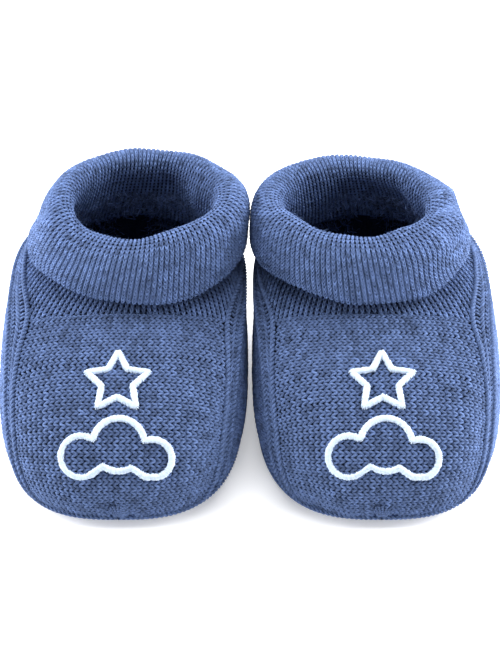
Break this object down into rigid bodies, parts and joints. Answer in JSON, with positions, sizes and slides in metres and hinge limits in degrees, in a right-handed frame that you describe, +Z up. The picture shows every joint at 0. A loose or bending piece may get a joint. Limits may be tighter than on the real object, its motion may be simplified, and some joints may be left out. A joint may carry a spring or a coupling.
{
  "type": "baby bootie",
  "caption": "Pair of soft knitted newborn booties with ribbed turn-down cuffs, an open ankle mouth, a padded insole and embroidered motifs on the instep.",
  "frame": {"origin": "on the floor, in the middle of the pair", "axes": "+Z up, toes point along -Y, +X towards the right bootie"},
  "size_m": [0.1268, 0.0915, 0.0597],
  "materials": {
    "knit": "plain jersey knit, matte",
    "rib": "ribbed knit, matte",
    "seam": "chain of yarn stitches, matte",
    "insole": "brushed fleece, matte",
    "thread": "satin-stitched embroidery thread, soft sheen"
  },
  "bodies": {
    "right_bootie": {"right_sole_panel": "knit", "right_insole": "insole", "right_instep_panel": "knit", "right_ribbed_cuff": "rib", "right_sole_seam": "seam", "right_heel_seam": "seam", "right_collar_seam": "seam", "right_toe_gather": "seam", "right_embroidered_star": "thread", "right_embroidered_cloud": "thread", "right_inner_side_strip": "knit", "right_inner_side_panel": "rib", "right_inner_instep_seam": "seam", "right_outer_side_strip": "knit", "right_outer_side_panel": "rib", "right_outer_instep_seam": "seam"},
    "left_bootie": {"left_sole_panel": "knit", "left_insole": "insole", "left_instep_panel": "knit", "left_ribbed_cuff": "rib", "left_sole_seam": "seam", "left_heel_seam": "seam", "left_collar_seam": "seam", "left_toe_gather": "seam", "left_embroidered_star": "thread", "left_embroidered_cloud": "thread", "left_inner_side_strip": "knit", "left_inner_side_panel": "rib", "left_inner_instep_seam": "seam", "left_outer_side_strip": "knit", "left_outer_side_panel": "rib", "left_outer_instep_seam": "seam"}
  },
  "joints": [
    {"name": "left_lift", "type": "slide", "parent": "right_bootie", "child": "left_bootie", "axis": [0, 0, 1], "range_m": [0, 0.1]}
  ]
}
